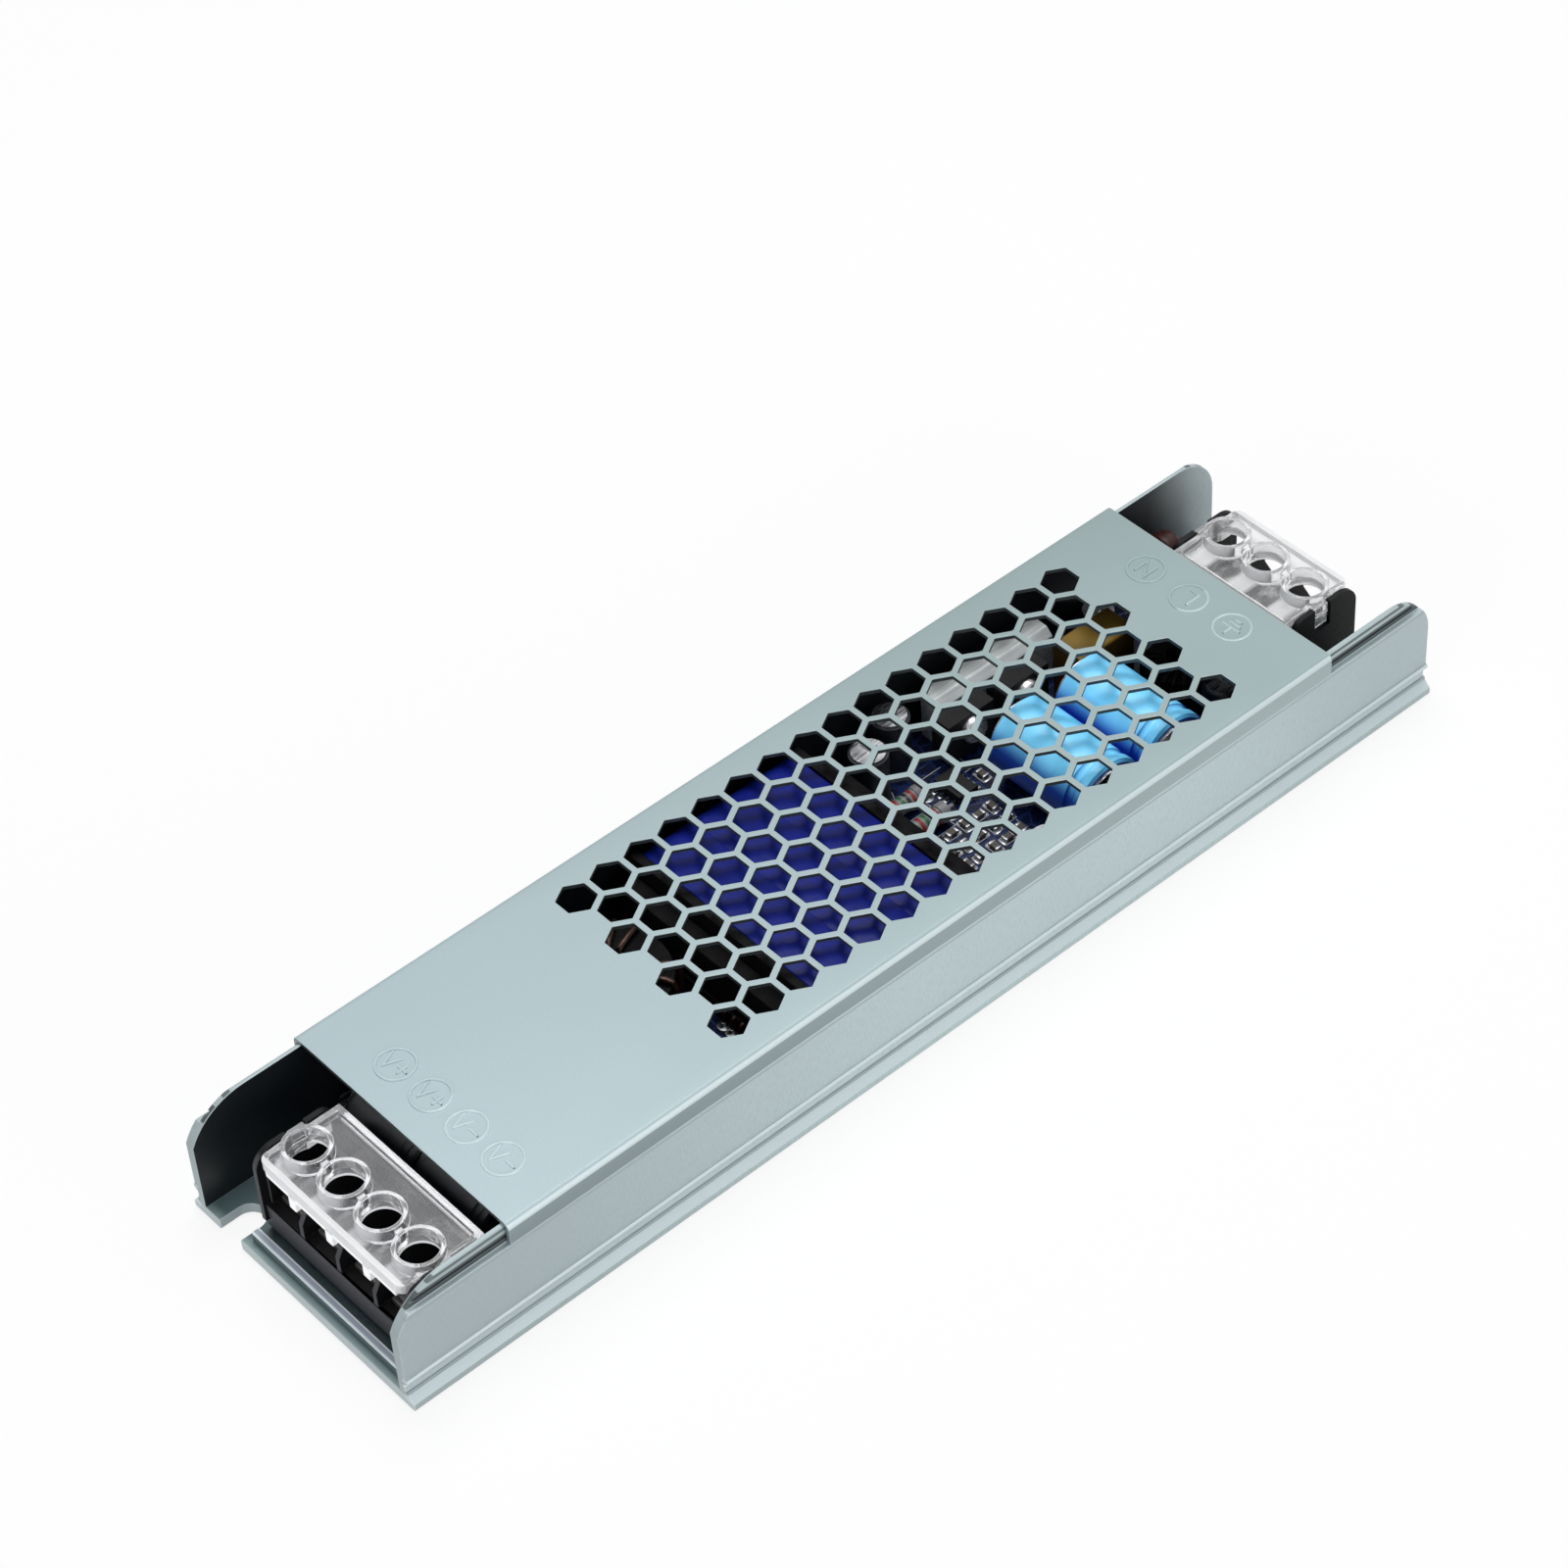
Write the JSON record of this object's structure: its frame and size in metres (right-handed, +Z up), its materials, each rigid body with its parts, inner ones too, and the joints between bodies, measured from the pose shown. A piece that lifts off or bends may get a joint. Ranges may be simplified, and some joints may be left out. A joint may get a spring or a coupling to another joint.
{
  "type": "led power supply",
  "caption": "Slim LED power supply: extruded aluminium channel, perforated folded lid, and screw terminal blocks under clear clip-on covers at both ends.",
  "frame": {"origin": "centre of the underside of the channel", "axes": "+X along the length from the output terminals to the input terminals, +Y to the left seen from the output end, +Z up through the lid"},
  "size_m": [0.211, 0.053, 0.0225],
  "materials": {
    "channel": "satin anodised, fine vertical grain",
    "lid": "satin powder coat",
    "tray": "smooth",
    "board": "semi-gloss solder mask",
    "post": "turned",
    "zinc": "zinc plated",
    "block": "fine moulded",
    "tin": "tin plated",
    "clear": "clear moulded",
    "screw": "dark zinc",
    "clamp": "plated",
    "tape": "glossy tape wrap",
    "bobbin": "moulded",
    "ferrite": "ground ferrite",
    "sleeve_blue": "shrink sleeve",
    "can": "drawn can",
    "film": "moulded case",
    "bar": "bright extruded",
    "epoxy": "moulded package",
    "sleeve_dark": "shrink sleeve",
    "resistor": "lacquered, ringed",
    "chip": "ceramic chip",
    "coil": "enamelled wire",
    "ceramic": "ceramic tube",
    "disc": "dipped disc"
  },
  "bodies": {
    "case": {"housing_channel": "channel", "perforated_lid": "lid", "insulating_tray": "tray", "circuit_board": "board", "board_posts": "post", "board_screws": "zinc", "base_screws": "zinc", "dc_terminal_body": "block", "dc_terminal_bars": "tin", "ac_terminal_body": "block", "ac_terminal_bars": "tin", "transformer_winding": "tape", "transformer_bobbin": "bobbin", "transformer_core": "ferrite", "bulk_capacitors": "sleeve_blue", "bulk_capacitor_ends": "can", "film_capacitor": "film", "heat_bar": "bar", "power_transistors": "epoxy", "small_capacitors": "sleeve_dark", "small_capacitor_tops": "can", "axial_resistors": "resistor", "chip_parts": "chip", "control_chip": "epoxy", "line_choke_core": "ferrite", "line_choke_coil": "coil", "fuse_tube": "ceramic", "fuse_caps": "zinc", "surge_disc": "disc", "output_capacitors": "sleeve_dark", "output_capacitor_tops": "can", "output_choke_core": "ferrite", "output_choke_coil": "coil", "rectifiers": "epoxy", "rectifier_clamp": "zinc"},
    "dc_cover": {"dc_terminal_cover": "clear"},
    "ac_cover": {"ac_terminal_cover": "clear"},
    "dc_clamp_1": {"dc_clamp_1": "clamp"},
    "dc_screw_1": {"dc_screw_1": "screw"},
    "dc_clamp_2": {"dc_clamp_2": "clamp"},
    "dc_screw_2": {"dc_screw_2": "screw"},
    "dc_clamp_3": {"dc_clamp_3": "clamp"},
    "dc_screw_3": {"dc_screw_3": "screw"},
    "dc_clamp_4": {"dc_clamp_4": "clamp"},
    "dc_screw_4": {"dc_screw_4": "screw"},
    "ac_clamp_1": {"ac_clamp_1": "clamp"},
    "ac_screw_1": {"ac_screw_1": "screw"},
    "ac_clamp_2": {"ac_clamp_2": "clamp"},
    "ac_screw_2": {"ac_screw_2": "screw"},
    "ac_clamp_3": {"ac_clamp_3": "clamp"},
    "ac_screw_3": {"ac_screw_3": "screw"}
  },
  "joints": [
    {"name": "dc_cover_lift", "type": "slide", "parent": "case", "child": "dc_cover", "axis": [0, 0, 1], "range_m": [0, 0.014]},
    {"name": "ac_cover_lift", "type": "slide", "parent": "case", "child": "ac_cover", "axis": [0, 0, 1], "range_m": [0, 0.014]},
    {"name": "dc_clamp_1_lift", "type": "slide", "parent": "case", "child": "dc_clamp_1", "axis": [0, 0, 1], "range_m": [0, 0.002]},
    {"name": "dc_screw_1_turn", "type": "hinge", "parent": "dc_clamp_1", "child": "dc_screw_1", "pos_m": [-0.0953, 0.00815, 0.0113], "axis": [0, 0, 1], "range_deg": [0, 1200]},
    {"name": "dc_clamp_2_lift", "type": "slide", "parent": "case", "child": "dc_clamp_2", "axis": [0, 0, 1], "range_m": [0, 0.002]},
    {"name": "dc_screw_2_turn", "type": "hinge", "parent": "dc_clamp_2", "child": "dc_screw_2", "pos_m": [-0.0953, -0.00055, 0.0113], "axis": [0, 0, 1], "range_deg": [0, 1200]},
    {"name": "dc_clamp_3_lift", "type": "slide", "parent": "case", "child": "dc_clamp_3", "axis": [0, 0, 1], "range_m": [0, 0.002]},
    {"name": "dc_screw_3_turn", "type": "hinge", "parent": "dc_clamp_3", "child": "dc_screw_3", "pos_m": [-0.0953, -0.00925, 0.0113], "axis": [0, 0, 1], "range_deg": [0, 1200]},
    {"name": "dc_clamp_4_lift", "type": "slide", "parent": "case", "child": "dc_clamp_4", "axis": [0, 0, 1], "range_m": [0, 0.002]},
    {"name": "dc_screw_4_turn", "type": "hinge", "parent": "dc_clamp_4", "child": "dc_screw_4", "pos_m": [-0.0953, -0.01795, 0.0113], "axis": [0, 0, 1], "range_deg": [0, 1200]},
    {"name": "ac_clamp_1_lift", "type": "slide", "parent": "case", "child": "ac_clamp_1", "axis": [0, 0, 1], "range_m": [0, 0.002]},
    {"name": "ac_screw_1_turn", "type": "hinge", "parent": "ac_clamp_1", "child": "ac_screw_1", "pos_m": [0.0933, -0.0093, 0.0113], "axis": [0, 0, 1], "range_deg": [0, 1200]},
    {"name": "ac_clamp_2_lift", "type": "slide", "parent": "case", "child": "ac_clamp_2", "axis": [0, 0, 1], "range_m": [0, 0.002]},
    {"name": "ac_screw_2_turn", "type": "hinge", "parent": "ac_clamp_2", "child": "ac_screw_2", "pos_m": [0.0933, -0.0006, 0.0113], "axis": [0, 0, 1], "range_deg": [0, 1200]},
    {"name": "ac_clamp_3_lift", "type": "slide", "parent": "case", "child": "ac_clamp_3", "axis": [0, 0, 1], "range_m": [0, 0.002]},
    {"name": "ac_screw_3_turn", "type": "hinge", "parent": "ac_clamp_3", "child": "ac_screw_3", "pos_m": [0.0933, 0.0081, 0.0113], "axis": [0, 0, 1], "range_deg": [0, 1200]}
  ],
  "couplings": [
    {"joint": "dc_screw_1_turn", "follows": "dc_clamp_1_lift", "rad_per_m": 10472},
    {"joint": "dc_screw_2_turn", "follows": "dc_clamp_2_lift", "rad_per_m": 10472},
    {"joint": "dc_screw_3_turn", "follows": "dc_clamp_3_lift", "rad_per_m": 10472},
    {"joint": "dc_screw_4_turn", "follows": "dc_clamp_4_lift", "rad_per_m": 10472},
    {"joint": "ac_screw_1_turn", "follows": "ac_clamp_1_lift", "rad_per_m": 10472},
    {"joint": "ac_screw_2_turn", "follows": "ac_clamp_2_lift", "rad_per_m": 10472},
    {"joint": "ac_screw_3_turn", "follows": "ac_clamp_3_lift", "rad_per_m": 10472}
  ]
}
